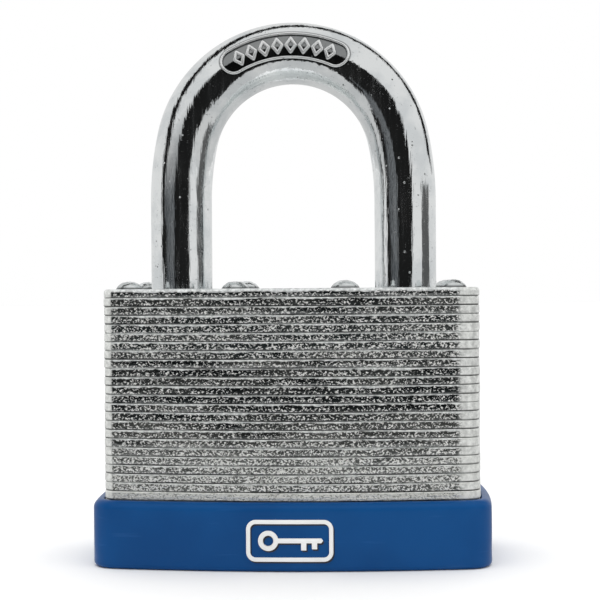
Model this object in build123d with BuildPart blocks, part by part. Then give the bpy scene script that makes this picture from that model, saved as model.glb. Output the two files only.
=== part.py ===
# Laminated padlock: a riveted stack of steel plates in a moulded bumper, with a
# bent steel shackle, two locking levers and a five-pin cylinder.
# Millimetres. +Z is up, the front faces -Y, and the origin is the middle of the
# bumper's flat underside. The shackle's heel (captive) leg is at -X, its toe at +X.
# Every piece is drawn at rest: shackle down, plug turned open, levers drawn back.
import os
from math import cos, pi, radians, sin

from build123d import *

os.makedirs("parts", exist_ok=True)

# ---- Driving sizes -----------------------------------------------------------
plate_width = 65.6
plate_depth = 32.0
plate_thickness = 1.5
plate_count = 30
front_bow = 3.2            # how far the front and back edges bulge past the corners
side_bow = 0.8             # the same for the two ends
corner_radius = 3.0
edge_roll = 0.32           # rounding the press leaves on the upper edge of a plate
top_edge_roll = 0.75       # the cap plate is tumbled rounder

bumper_wall = 1.8
bumper_floor = 2.5
covered_plates = 6         # plates hidden behind the bumper's wall
bumper_shoulder = 1.5
bumper_foot_radius = 0.9
key_hole_radius = 7.0

shackle_diameter = 10.9
leg_spacing = 40.0
shackle_rise = 47.3        # crown above the cap plate
arch_flare = 0.75          # legs stand this much wider than the crown's circle
leg_lean = 12.0            # degrees from upright where crown meets shoulder bend
collar_height = 4.0
leg_chamfer = 0.8

rivet_shank_radius = 1.8
rivet_head_radius = 2.38
rivet_head_height = 1.35
rivet_tail_radius = 2.7
rivet_tail_height = 1.2

plug_radius = 6.35
plug_shoulder = 0.85       # the plug's nose is this much smaller in radius
case_wall = 1.8
tower_width = 6.0
pin_count = 5
pin_radius = 1.45
driver_length = 4.8
pin_spring_space = 5.1
tower_cover_thickness = 1.0
keyway_width = 2.2
keyway_top = 2.2
keyway_bottom = -4.4
key_cut_depths = (0.6, 1.5, 1.0, 1.9, 1.2)

lever_half_width = 4.1
lever_travel = 2.15
cam_peg_radius = 1.0
cam_radius = 5.0

# ---- Clearances --------------------------------------------------------------
running_clearance = 0.05   # plug in case, nose in end plate, cam, pins, rivets, pin slot
leg_clearance = 0.10       # shackle leg in its bore, lever in its slot
cover_clearance = 0.05     # bumper round the stack
end_clearance = 0.25       # shackle's travel stops this short of the retaining pin
layer_clearance = 0.10     # lever above and below
peg_clearance = 0.12       # cam peg against its lever
lever_standoff = 0.40      # drawn-back lever from the leg
notch_clearance = 0.15     # locked lever from the floor of its notch
toe_rise = 1.0             # lifted toe above the cap plate


# ---- Heights -----------------------------------------------------------------
def level(number):
    # height of the underside of plate `number`, plate 1 being the uppermost
    return bumper_floor + (plate_count - number) * plate_thickness


stack_top = level(0)
stack_bottom = level(plate_count)
case_bottom = level(plate_count - 1)
case_top = level(8)
tower_top = level(10)
toe_end = level(8)
lever_bottom = level(5) + layer_clearance
lever_thickness = 2 * plate_thickness - 2 * layer_clearance
pin_slot_middle = level(12)
bumper_height = bumper_floor + covered_plates * plate_thickness

# ---- Sizes that follow -------------------------------------------------------
half_width = plate_width / 2
half_depth = plate_depth / 2
corner_x = half_width - side_bow
corner_y = half_depth - front_bow
leg_x = leg_spacing / 2
leg_radius = shackle_diameter / 2
bore_radius = leg_radius + leg_clearance
lift = stack_top - toe_end + toe_rise
lever_bite = lever_travel - lever_standoff
notch_depth = lever_bite + notch_clearance
neck_radius = leg_radius - lever_bite - leg_clearance
retaining_radius = plate_thickness - running_clearance
retaining_x = -(leg_x - neck_radius - notch_clearance - retaining_radius)
retaining_half_length = bore_radius + 1.5
neck_top = pin_slot_middle + retaining_radius + end_clearance
neck_bottom = pin_slot_middle - retaining_radius - end_clearance - lift
heel_end = neck_bottom - collar_height

arch_radius = leg_x - arch_flare
lean_cos = cos(radians(leg_lean))
lean_sin = sin(radians(leg_lean))
bend_radius = (leg_x - arch_radius * lean_cos) / (1 - lean_cos)
arch_height = stack_top + shackle_rise - leg_radius - arch_radius
bend_centre_x = (arch_radius - bend_radius) * lean_cos
bend_centre_z = arch_height + (arch_radius - bend_radius) * lean_sin

rivet_hole_radius = rivet_shank_radius + running_clearance
outer_rivet_x = half_width - 5.0
outer_rivet_y = corner_y - 2.7
inner_rivet_x = 0.1425 * plate_width
inner_rivet_y = half_depth - 4.3
rivet_places = [
    (side * x, end * y)
    for x, y in ((outer_rivet_x, outer_rivet_y), (inner_rivet_x, inner_rivet_y))
    for side in (-1, 1)
    for end in (-1, 1)
]

nose_radius = plug_radius - plug_shoulder
plug_bore = plug_radius + running_clearance
case_radius = plug_bore + case_wall
pin_hole_radius = pin_radius + running_clearance
driver_start = plug_bore + 0.1
spring_start = driver_start + driver_length
cover_start = spring_start + pin_spring_space
tower_reach = cover_start + tower_cover_thickness
first_pin = case_bottom + 4.0
pin_pitch = (tower_top - case_bottom - 8.5) / (pin_count - 1)
pin_heights = [first_pin + pin_pitch * step for step in range(pin_count)]
key_pin_end = plug_radius - 0.25
tail_radius = 3.4
tail_top = level(7) + 0.1
tongue_width = 1.6
tongue_length = 5.6
tongue_depth = 1.0

cam_bottom = level(7) + 0.2
cam_top = level(5) - 0.2
peg_top = level(3) - 0.2
peg_circle = lever_travel / (2 * sin(pi / 4))
peg_offset = lever_travel / 2
tip_x = leg_x - leg_radius - lever_standoff
tab_near = peg_offset + cam_peg_radius + peg_clearance
tab_far = tab_near + 2.2
tab_inner_y = 0.4
arm_inner_y = peg_circle + cam_peg_radius + 0.2
blade_end = tab_far + 0.2
lug_near = tip_x - 7.15
lug_length = 2.0
lug_half_width = 1.3
chamber_half_length = lug_near + lug_length + lever_travel + 0.3
chamber_half_width = lug_half_width + 0.3
slot_half_length = leg_x - neck_radius + 1.0


def save(piece, name):
    # labels a finished piece and writes it to its own file
    piece.part.label = name
    export_step(piece.part, f"parts/{name}.step")


def body_outline(grow):
    # four shallow arcs through the corners, `grow` outside the plates' own edge
    across = half_width + grow
    along = half_depth + grow
    x = corner_x + grow
    y = corner_y + grow
    ThreePointArc((-x, -y), (0, -along), (x, -y))
    ThreePointArc((x, -y), (across, 0), (x, y))
    ThreePointArc((x, y), (0, along), (-x, y))
    ThreePointArc((-x, y), (-across, 0), (-x, -y))


def case_outline(grow, with_tower):
    # the round cylinder case, and the pin tower standing out of it towards +X
    Circle(case_radius + grow)
    if with_tower:
        with Locations(((tower_reach + grow) / 2, 0)):
            Rectangle(tower_reach + grow, tower_width + 2 * grow)


# ---- Plates ------------------------------------------------------------------
for number in range(1, plate_count + 1):
    underside = Plane.XY.offset(level(number))
    with BuildPart() as plate:
        with BuildSketch(underside) as blank:
            with BuildLine():
                body_outline(0)
            make_face()
            fillet(blank.vertices(), corner_radius)
        extrude(amount=plate_thickness)
        fillet(plate.edges().group_by(Axis.Z)[-1], top_edge_roll if number == 1 else edge_roll)
        with BuildSketch(underside):
            with Locations(*rivet_places):
                Circle(rivet_hole_radius)
            if number < plate_count:
                with Locations((-leg_x, 0)):
                    Circle(bore_radius)
            if number <= 9:
                with Locations((leg_x, 0)):
                    Circle(bore_radius)
            if number in (2, 3):
                # chamber for the lever spring and the two lever lugs
                Rectangle(2 * chamber_half_length, 2 * chamber_half_width)
            if number in (4, 5):
                # slot both levers slide in, open into both leg bores
                Rectangle(2 * slot_half_length, 2 * (lever_half_width + leg_clearance))
            if number in (6, 7):
                Circle(cam_radius + running_clearance)
            if number == 8:
                Circle(tail_radius + running_clearance)
            if number in (9, 10):
                case_outline(running_clearance, False)
            if 10 < number < plate_count:
                case_outline(running_clearance, True)
            if number in (12, 13):
                # slot for the retaining pin, beside the heel bore
                with Locations((retaining_x, 0)):
                    Rectangle(
                        2 * (retaining_radius + running_clearance),
                        2 * (retaining_half_length + running_clearance),
                    )
            if number == plate_count:
                Circle(nose_radius + running_clearance)
        extrude(amount=plate_thickness, mode=Mode.SUBTRACT)
    save(plate, f"plate_{number:02d}")

# ---- Rivets ------------------------------------------------------------------
with BuildPart() as rivets:
    with BuildSketch(Plane.XY.offset(stack_bottom)):
        with Locations(*rivet_places):
            Circle(rivet_shank_radius)
    extrude(amount=stack_top - stack_bottom)
    with BuildSketch(Plane.XY.offset(stack_bottom)):
        with Locations(*rivet_places):
            Circle(rivet_tail_radius)
    extrude(amount=-rivet_tail_height, taper=12)
    # a spherical cap of the stated width and height on every shank
    cap_sphere = (rivet_head_radius**2 + rivet_head_height**2) / (2 * rivet_head_height)
    for x, y in rivet_places:
        with BuildSketch(Plane(origin=(x, y, stack_top), x_dir=(1, 0, 0), z_dir=(0, -1, 0))):
            with BuildLine():
                Line((0, 0), (rivet_head_radius, 0))
                RadiusArc((rivet_head_radius, 0), (0, rivet_head_height), -cap_sphere)
                Line((0, rivet_head_height), (0, 0))
            make_face()
        revolve(axis=Axis((x, y, 0), (0, 0, 1)))
save(rivets, "rivets")

# ---- Bumper and emblem -------------------------------------------------------
outer_grow = cover_clearance + bumper_wall
with BuildPart() as bumper:
    with BuildSketch() as footprint:
        with BuildLine():
            body_outline(outer_grow)
        make_face()
        fillet(footprint.vertices(), corner_radius + outer_grow)
    extrude(amount=bumper_height)
    fillet(bumper.edges().group_by(Axis.Z)[-1], bumper_shoulder)
    fillet(bumper.edges().group_by(Axis.Z)[0], bumper_foot_radius)
    with BuildSketch(Plane.XY.offset(bumper_floor)) as pocket:
        with BuildLine():
            body_outline(cover_clearance)
        make_face()
        fillet(pocket.vertices(), corner_radius + cover_clearance)
    extrude(amount=bumper_height, mode=Mode.SUBTRACT)
    with BuildSketch():
        Circle(key_hole_radius)
    extrude(amount=bumper_floor, mode=Mode.SUBTRACT)
    with BuildSketch(Plane.XY.offset(bumper_floor)):
        with Locations(*rivet_places):
            Circle(rivet_tail_radius + 0.2)
    extrude(amount=-(rivet_tail_height + 0.2), mode=Mode.SUBTRACT)
save(bumper, "bumper")

# The badge is a raised skin on the bumper's bowed front: a rounded frame with a
# plain key lying across it from end to end.
badge_middle = bumper_height * 0.46
badge_width = 14.6
badge_height = 7.0
badge_line = 0.7
badge_relief = 0.25
key_bow_x = -3.6
with BuildPart() as emblem:
    with BuildSketch() as skin:
        with BuildLine():
            body_outline(outer_grow + badge_relief)
        make_face()
    extrude(amount=bumper_height)
    with BuildSketch() as under_skin:
        with BuildLine():
            body_outline(outer_grow)
        make_face()
    extrude(amount=bumper_height, mode=Mode.SUBTRACT)
    with BuildSketch(Plane.XZ.offset(corner_y)):
        with Locations((0, badge_middle)):
            RectangleRounded(badge_width, badge_height, 1.6)
            RectangleRounded(
                badge_width - 2 * badge_line, badge_height - 2 * badge_line, 0.9, mode=Mode.SUBTRACT
            )
            Rectangle(badge_width - badge_line, 0.8)
        with Locations((key_bow_x, badge_middle)):
            Circle(1.7)
            Circle(0.85, mode=Mode.SUBTRACT)
        with Locations((2.4, badge_middle - 0.9), (4.2, badge_middle - 0.9)):
            Rectangle(0.8, 1.4)
    extrude(amount=half_depth, mode=Mode.INTERSECT)
save(emblem, "emblem")

# ---- Shackle -----------------------------------------------------------------
# A raised panel on the front of the crown: a rim round a row of plain diamonds.
panel_half_angle = 27.0
panel_turn = 3.2              # the panel sits a little to the left of the crown's middle
panel_radius = arch_radius + 0.7
panel_width = 4.7
panel_rim = 0.5
panel_relief = 0.12
diamond_count = 8
diamond_half_width = 1.08
diamond_half_height = 1.65
diamond_core = 0.56           # share of each diamond that is cut out of its middle


# The four corners of a diamond, at a share of its full size.
def diamond(share):
    wide = share * diamond_half_width
    tall = share * diamond_half_height
    return [(wide, 0), (0, tall), (-wide, 0), (0, -tall)]


with BuildPart() as crown_panel:
    with BuildLine(Plane.XZ) as crown_line:
        CenterArc((0, arch_height), arch_radius, 45, 90)
    with BuildSketch(Plane(origin=crown_line.line @ 0, z_dir=crown_line.line % 0)):
        Circle(leg_radius + panel_relief)
    sweep()
    with BuildSketch(Plane.XZ):
        panel_arc = CenterArc(
            (0, arch_height),
            panel_radius,
            90 + panel_turn - panel_half_angle,
            2 * panel_half_angle,
            mode=Mode.PRIVATE,
        )
        SlotArc(panel_arc, panel_width)
        SlotArc(panel_arc, panel_width - 2 * panel_rim, mode=Mode.SUBTRACT)
        for step in range(diamond_count):
            turn = panel_turn + panel_half_angle * (1 - (2 * step + 1) / diamond_count)
            across = -panel_radius * sin(radians(turn))
            upward = arch_height + panel_radius * cos(radians(turn))
            with Locations((across, upward)):
                Polygon(*diamond(1), rotation=turn)
                Polygon(*diamond(diamond_core), rotation=turn, mode=Mode.SUBTRACT)
    extrude(amount=2 * leg_radius, mode=Mode.INTERSECT)

with BuildPart() as shackle:
    with BuildLine(Plane.XZ) as rod_line:
        Line((leg_x, toe_end), (leg_x, bend_centre_z))
        CenterArc((bend_centre_x, bend_centre_z), bend_radius, 0, leg_lean)
        CenterArc((0, arch_height), arch_radius, leg_lean, 180 - 2 * leg_lean)
        CenterArc((-bend_centre_x, bend_centre_z), bend_radius, 180 - leg_lean, leg_lean)
        Line((-leg_x, bend_centre_z), (-leg_x, heel_end))
    with BuildSketch(Plane.XY.offset(toe_end)):
        with Locations((leg_x, 0)):
            Circle(leg_radius)
    sweep(path=rod_line.wires()[0])
    chamfer(shackle.edges().group_by(Axis.Z)[0], leg_chamfer)
    chamfer(shackle.edges().filter_by_position(Axis.Z, toe_end - 0.01, toe_end + 0.01), leg_chamfer)
    add(crown_panel.part)
    # the long neck that lets the heel leg rise past the retaining pin
    with BuildSketch(Plane.XY.offset(neck_bottom)):
        with Locations((-leg_x, 0)):
            Circle(leg_radius + 1)
            Circle(neck_radius, mode=Mode.SUBTRACT)
    extrude(amount=neck_top - neck_bottom, mode=Mode.SUBTRACT)
    # one flat notch on the inner side of each leg for the lever ends
    notch_span = 2 * leg_radius
    with BuildSketch(Plane.XY.offset(level(5) - layer_clearance)):
        with Locations(
            (leg_x - leg_radius + notch_depth - notch_span / 2, 0),
            (-(leg_x - leg_radius + notch_depth - notch_span / 2), 0),
        ):
            Rectangle(notch_span, 2 * leg_radius + 2)
    extrude(amount=2 * plate_thickness + 2 * layer_clearance, mode=Mode.SUBTRACT)
save(shackle, "shackle")

with BuildPart() as retaining_pin:
    with BuildSketch(Plane.XZ):
        with Locations((retaining_x, pin_slot_middle)):
            Circle(retaining_radius)
    extrude(amount=retaining_half_length, both=True)
    chamfer(retaining_pin.edges(), 0.3)
save(retaining_pin, "retaining_pin")


# ---- Springs -----------------------------------------------------------------
def coil_spring(name, start, direction, length, mean_radius, wire_radius, turns):
    # a round-wire helix whose wire just fits between two faces `length` apart
    inset = wire_radius + 0.02
    run = length - 2 * inset
    base = Vector(start) + Vector(direction) * inset
    with BuildPart() as spring:
        with BuildLine() as coil:
            Helix(pitch=run / turns, height=run, radius=mean_radius, center=base, direction=direction)
        with BuildSketch(Plane(origin=coil.line @ 0, z_dir=coil.line % 0)):
            Circle(wire_radius)
        sweep(is_frenet=True)
    save(spring, name)


coil_spring(
    "shackle_spring",
    (-leg_x, 0, case_bottom),
    (0, 0, 1),
    heel_end - case_bottom,
    leg_radius - 0.9,
    0.4,
    4.5,
)
coil_spring("lever_spring", (-lug_near, 0, level(2)), (1, 0, 0), 2 * lug_near, 0.95, 0.18, 12)

# ---- Levers ------------------------------------------------------------------
# The right lever is the left one turned half round the plug's axis.
for name, turn in (("lever_left", 0), ("lever_right", 180)):
    layer = Plane.XY.offset(lever_bottom).rotated((0, 0, turn))
    with BuildPart() as lever:
        with BuildSketch(layer):
            with BuildLine():
                Polyline(
                    (-tip_x, -lever_half_width + 0.6),
                    (-tip_x + 0.6, -lever_half_width),
                    (tab_far, -lever_half_width),
                    (tab_far, -tab_inner_y),
                    (tab_near, -tab_inner_y),
                    (tab_near, -arm_inner_y),
                    (-blade_end, -arm_inner_y),
                    (-blade_end, lever_half_width),
                    (-tip_x + 0.6, lever_half_width),
                    (-tip_x, lever_half_width - 0.6),
                    close=True,
                )
            make_face()
        extrude(amount=lever_thickness)
        with BuildSketch(layer.offset(lever_thickness)):
            with Locations((-(lug_near + lug_length / 2), 0)):
                Rectangle(lug_length, 2 * lug_half_width)
        extrude(amount=level(1) - 0.4 - lever_bottom - lever_thickness)
    save(lever, name)

# ---- Cylinder ----------------------------------------------------------------
with BuildPart() as cylinder_case:
    with BuildSketch(Plane.XY.offset(case_bottom)):
        Circle(case_radius)
    extrude(amount=case_top - case_bottom)
    with BuildSketch(Plane.XY.offset(case_bottom)):
        case_outline(0, True)
    extrude(amount=tower_top - case_bottom)
    with BuildSketch(Plane.XY.offset(case_bottom)):
        Circle(plug_bore)
    extrude(amount=case_top - case_bottom, mode=Mode.SUBTRACT)
    with BuildSketch(Plane.YZ):
        with Locations(*[(0, height) for height in pin_heights]):
            Circle(pin_hole_radius)
    extrude(amount=tower_reach, mode=Mode.SUBTRACT)
    # rebate in the end of the tower for the strip that holds the springs in
    with BuildSketch(Plane.YZ.offset(cover_start)):
        with Locations((0, (pin_heights[0] + pin_heights[-1]) / 2)):
            Rectangle(2 * pin_hole_radius + 1.4, pin_heights[-1] - pin_heights[0] + 4.4)
    extrude(amount=tower_cover_thickness, mode=Mode.SUBTRACT)
save(cylinder_case, "cylinder_case")

with BuildPart() as tower_cover:
    with BuildSketch(Plane.YZ.offset(cover_start)):
        with Locations((0, (pin_heights[0] + pin_heights[-1]) / 2)):
            Rectangle(2 * pin_hole_radius + 1.3, pin_heights[-1] - pin_heights[0] + 4.3)
    extrude(amount=tower_cover_thickness)
save(tower_cover, "tower_cover")

with BuildPart() as plug:
    with BuildSketch(Plane.XY.offset(stack_bottom)):
        Circle(nose_radius)
    extrude(amount=case_top - stack_bottom)
    with BuildSketch(Plane.XY.offset(case_bottom + 0.05)):
        Circle(plug_radius)
    extrude(amount=case_top - case_bottom - 0.1)
    with BuildSketch(Plane.XY.offset(case_top - 0.05)):
        Circle(tail_radius)
    extrude(amount=tail_top - case_top + 0.05)
    # the nose stops below the thrust face that runs under plate 8
    with BuildSketch(Plane.XY.offset(case_top - 0.05)):
        Circle(plug_radius)
        Circle(tail_radius, mode=Mode.SUBTRACT)
    extrude(amount=1, mode=Mode.SUBTRACT)
    with BuildSketch(Plane.XY.offset(tail_top)):
        Rectangle(2 * tail_radius + 1, tongue_width + 2 * running_clearance)
    extrude(amount=-(tongue_depth + 0.2), mode=Mode.SUBTRACT)
    with BuildSketch(Plane.XY.offset(stack_bottom)):
        with BuildLine():
            Polyline(
                (-keyway_width / 2, keyway_bottom),
                (keyway_width / 2, keyway_bottom),
                (keyway_width / 2, -2.4),
                (0.4, -2.0),
                (0.4, -1.0),
                (keyway_width / 2, -0.6),
                (keyway_width / 2, keyway_top),
                (-keyway_width / 2, keyway_top),
                (-keyway_width / 2, 0.9),
                (-0.5, 0.5),
                (-0.5, -0.5),
                (-keyway_width / 2, -0.9),
                close=True,
            )
        make_face()
    extrude(amount=pin_heights[-1] + 2.4 - stack_bottom, mode=Mode.SUBTRACT)
    with BuildSketch(Plane.ZX):
        with Locations(*[(height, 0) for height in pin_heights]):
            Circle(pin_hole_radius)
    extrude(amount=plug_radius + 1, mode=Mode.SUBTRACT)
save(plug, "plug")

with BuildPart() as cam:
    with BuildSketch(Plane.XY.offset(cam_bottom)):
        Circle(cam_radius)
    extrude(amount=cam_top - cam_bottom)
    with BuildSketch(Plane.XY.offset(cam_bottom)):
        Rectangle(tongue_length, tongue_width)
    extrude(amount=-(tongue_depth + 0.1))
    with BuildSketch(Plane.XY.offset(cam_top)):
        with Locations((peg_offset, -peg_offset), (-peg_offset, peg_offset)):
            Circle(cam_peg_radius)
    extrude(amount=peg_top - cam_top)
save(cam, "cam")

for step, height in enumerate(pin_heights):
    # the plug is turned open, so its five pins point to +Y, level with its surface
    key_pin_start = keyway_top - key_cut_depths[step]
    with BuildPart() as key_pin:
        with BuildSketch(Plane.ZX.offset(key_pin_start)):
            with Locations((height, 0)):
                Circle(pin_radius)
        extrude(amount=key_pin_end - key_pin_start)
        chamfer(key_pin.edges().group_by(Axis.Y)[0], 0.6)
        chamfer(key_pin.edges().group_by(Axis.Y)[-1], 0.15)
    save(key_pin, f"key_pin_{step + 1}")
    with BuildPart() as driver_pin:
        with BuildSketch(Plane.YZ.offset(driver_start)):
            with Locations((0, height)):
                Circle(pin_radius)
        extrude(amount=driver_length)
        chamfer(driver_pin.edges(), 0.2)
    save(driver_pin, f"driver_pin_{step + 1}")
    coil_spring(
        f"pin_spring_{step + 1}",
        (spring_start, 0, height),
        (1, 0, 0),
        pin_spring_space,
        pin_radius - 0.35,
        0.18,
        6,
    )
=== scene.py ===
import math
import bpy
import numpy as np
from mathutils.geometry import delaunay_2d_cdt
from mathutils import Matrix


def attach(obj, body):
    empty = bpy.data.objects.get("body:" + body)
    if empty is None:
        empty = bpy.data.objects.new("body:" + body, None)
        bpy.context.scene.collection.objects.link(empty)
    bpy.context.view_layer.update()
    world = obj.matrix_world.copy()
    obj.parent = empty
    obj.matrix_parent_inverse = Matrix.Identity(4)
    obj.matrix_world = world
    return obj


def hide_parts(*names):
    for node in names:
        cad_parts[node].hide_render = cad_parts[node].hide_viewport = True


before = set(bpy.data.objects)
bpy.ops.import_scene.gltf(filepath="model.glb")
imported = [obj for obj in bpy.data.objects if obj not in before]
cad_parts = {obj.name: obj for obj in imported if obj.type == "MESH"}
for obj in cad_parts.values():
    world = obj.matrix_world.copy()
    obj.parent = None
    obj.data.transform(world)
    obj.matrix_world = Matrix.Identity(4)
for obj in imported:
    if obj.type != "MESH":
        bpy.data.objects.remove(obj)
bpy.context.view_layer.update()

# Everything is in metres in the frame's own axes: +Z up, front towards -Y.
mm = 0.001
lockBody = "lock_body"

# sizes shared by several pieces, the same as the solids have
stack = {
    "halfWidth": 32.8 * mm, "halfDepth": 16.0 * mm, "frontBow": 3.2 * mm, "sideBow": 0.8 * mm,
    "corner": 3.0 * mm, "pitch": 1.5 * mm, "count": 30, "shown": 24, "floor": 2.5 * mm,
    "rivets": ((27.8, 10.1), (9.348, 11.7)), "rivetHole": 1.85 * mm,
    "legX": 20.0 * mm, "legRadius": 5.45 * mm, "neck": 3.6 * mm,
}
stackTop = stack["floor"] + stack["count"] * stack["pitch"]
signs = (-1, 1)
rivetPlaces = [(sx * x * mm, sy * y * mm) for x, y in stack["rivets"] for sx in signs for sy in signs]
outlineSteps = 4000    # points on each arc, before even spacing
sameSpot = 1e-7        # nearer points are one
mmPerMetre = 1000
join = np.concatenate


# Band-limited noise on a grid that repeats both ways: white noise times a bell round
# one wavelength (in cells, along each way), scaled to unit spread.
def bandNoise(rng, shape, waveRows, waveColumns):
    sharpness = 2.0
    white = np.fft.fft2(rng.standard_normal(shape))
    fr = np.abs(np.fft.fftfreq(shape[0]))[:, None] * waveRows
    fc = np.abs(np.fft.fftfreq(shape[1]))[None, :] * waveColumns
    f = np.hypot(fr, fc)
    out = np.real(np.fft.ifft2(white * f ** sharpness * np.exp(sharpness * (1 - f)) * (f > 0)))
    return out / out.std()


# 0 below lo, 1 above hi, and 3t^2 - 2t^3 between.
def smoothStep(lo, hi, x):
    t = np.clip((x - lo) / (hi - lo), 0, 1)
    return t * t * (3 - 2 * t)


# Radius of an arc from half its chord and its bow: (half^2 + bow^2) / (2 bow).
def arcRadius(half, bow):
    return (half ** 2 + bow ** 2) / (2 * bow)


# Unit vectors (cos, sin) at some angles.
def facing(angle):
    return np.stack([np.cos(angle), np.sin(angle)], -1)


# Even angles round a circle.
def turns(count):
    return np.linspace(0, 2 * math.pi, count, endpoint=False)


# Length along a line of points, from 0 at its first.
def lengths(line):
    return join([[0], np.cumsum(np.linalg.norm(np.diff(line, axis=0), axis=1))])


# A flat loop of points stood at one height.
def atHeight(loop, z):
    return np.column_stack([loop, np.full(len(loop), z)])


# Rows of flat loops with their heights, as one list of points.
def stacked(rows, z):
    return join([rows, np.broadcast_to(z, rows.shape[:2])[..., None]], -1).reshape(-1, 3)


# Quads of a grid of rows x columns, columns closed round: i*n+j, i*n+j+1, (i+1)*n+j+1, (i+1)*n+j.
def ringQuads(rows, columns, first=0, closedRows=False):
    i = np.arange(rows if closedRows else rows - 1)[:, None]
    j = np.arange(columns)[None, :]
    k = (j + 1) % columns
    n = (i + 1) % rows
    quads = np.stack([i * columns + j, i * columns + k, n * columns + k, n * columns + j], -1)
    return quads.reshape(-1, 4) + first


# Triangles from one ring of points to a single pole point.
def poleFan(ringStart, columns, pole, flip=False):
    j = np.arange(columns)
    fan = np.stack([ringStart + j, ringStart + (j + 1) % columns, np.full(columns, pole)], -1)
    return fan[:, ::-1] if flip else fan


# One smooth mesh object from point and face arrays, with per-point attributes and a sharp edge
# where faces meet at over crisp degrees. It rides on a body unless it is part of the stage.
def addPiece(name, points, faceLists, material, body=None, attributes=None, nodes=(), crisp=0):
    mesh = bpy.data.meshes.new(name)
    faces = [f for part in faceLists for f in np.asarray(part).tolist()]
    mesh.from_pydata(np.asarray(points).tolist(), [], faces)
    for key, values in (attributes or {}).items():
        layer = mesh.attributes.new(key, "FLOAT", "POINT")
        layer.data.foreach_set("value", np.asarray(values, np.float32).ravel())
    mesh.polygons.foreach_set("use_smooth", np.full(len(mesh.polygons), True))
    mesh.materials.append(material)
    mesh.update()
    if crisp:
        mesh.set_sharp_from_angle(angle=math.radians(crisp))
    piece = bpy.data.objects.new(name, mesh)
    bpy.context.scene.collection.objects.link(piece)
    if body:
        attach(piece, body)
    if nodes:
        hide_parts(*nodes)
    return piece


# The plates' outline, larger by grow, and its normals: front and end arcs joined by a corner
# circle inside both, at distance R - r from each centre, so its own centre is where two circles
# cross. One quarter is mirrored twice and spaced evenly.
def outlineLoop(grow, count):
    hw, hd = stack["halfWidth"] + grow, stack["halfDepth"] + grow
    cx, cy = hw - stack["sideBow"], hd - stack["frontBow"]
    r = stack["corner"] + grow
    bigFront = arcRadius(cx, stack["frontBow"])
    bigSide = arcRadius(cy, stack["sideBow"])
    cf = np.array([0.0, bigFront - hd])      # centre of the front arc
    cs = np.array([hw - bigSide, 0.0])       # centre of the right end's arc
    a, b = bigFront - r, bigSide - r
    d = np.linalg.norm(cs - cf)
    along = (a * a - b * b + d * d) / (2 * d)
    off = math.sqrt(max(a * a - along * along, 0))
    u = (cs - cf) / d
    options = [cf + u * along + np.array([-u[1], u[0]]) * off * s for s in (1, -1)]
    c = max(options, key=lambda p: p[0] - p[1])   # the one in the front right quarter
    angleFront = math.atan2(*(c - cf)[::-1])      # direction of the tangent point on the front arc
    angleSide = math.atan2(*(c - cs)[::-1])
    t = np.linspace(0, 1, outlineSteps)
    front = -math.pi / 2 + t * (angleFront + math.pi / 2)
    corner = angleFront + t * (angleSide - angleFront)
    side = angleSide * (1 - t)
    arcs = [c + r * facing(corner)[1:], cs + bigSide * facing(side)[1:]]
    quarter = join([cf + bigFront * facing(front), *arcs])
    normal = join([front, corner[1:], side[1:]])
    half = join([quarter, quarter[::-1][1:] * (1, -1)])
    angle = join([normal, -normal[::-1][1:]])
    whole = join([half, (half[::-1] * (-1, 1))[1:]])
    angle = join([angle, (math.pi - angle[::-1])[1:]])
    s = lengths(whole)
    at = np.linspace(0, s[-1], count, endpoint=False)
    points = np.stack([np.interp(at, s, whole[:, k]) for k in (0, 1)], -1)
    return points, facing(np.interp(at, s, np.unwrap(angle)))


# A circle as a loop of points.
def circleLoop(x, y, radius, count):
    return (x, y) + radius * facing(turns(count))


# Flat triangles over an outer loop less every hole. Holes may overlap one another: each
# triangle whose middle falls inside a hole is dropped, and the open edges are returned.
def fillFlat(outer, holes, inHole):
    loops = [outer] + holes
    sizes = [len(l) for l in loops]
    starts = join([[0], np.cumsum(sizes)[:-1]])
    edges = [np.stack([np.arange(n), (np.arange(n) + 1) % n], -1) + s for n, s in zip(sizes, starts)]
    flat = (join(loops) * mmPerMetre).tolist()
    verts, _, faces = delaunay_2d_cdt(flat, join(edges).tolist(), [], 0, 1e-6, False)[:3]
    points = np.array([tuple(v) for v in verts]) / mmPerMetre
    triangles = np.array([f for f in faces if len(f) == 3])
    middle = points[triangles].mean(axis=1)
    triangles = triangles[inLoop(outer, middle) & ~inHole(middle)]
    a, b, c = points[triangles].transpose(1, 0, 2)
    area = (b[:, 0] - a[:, 0]) * (c[:, 1] - a[:, 1]) - (b[:, 1] - a[:, 1]) * (c[:, 0] - a[:, 0])
    triangles[area < 0] = triangles[area < 0][:, ::-1]
    directed = join([triangles[:, [0, 1]], triangles[:, [1, 2]], triangles[:, [2, 0]]])
    code = directed[:, 0].astype(np.int64) * len(points) + directed[:, 1]
    back = directed[:, 1].astype(np.int64) * len(points) + directed[:, 0]
    openEdges = directed[~np.isin(code, back)]
    return points, triangles, openEdges


# True for points inside a closed loop, by counting crossings of a ray along +X.
def inLoop(loop, points):
    a, b = loop, np.roll(loop, -1, axis=0)
    x, y = points.T[:, :, None]
    crosses = (a[:, 1] > y) != (b[:, 1] > y)
    with np.errstate(divide="ignore", invalid="ignore"):
        at = a[:, 0] + (y - a[:, 1]) / (b[:, 1] - a[:, 1]) * (b[:, 0] - a[:, 0])
    return (crosses & (x < at)).sum(axis=1) % 2 == 1


# True for points within a radius of any of the places.
def nearAny(points, places, radius):
    return np.any([np.hypot(points[:, 0] - x, points[:, 1] - y) < radius for x, y in places], axis=0)


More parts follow.
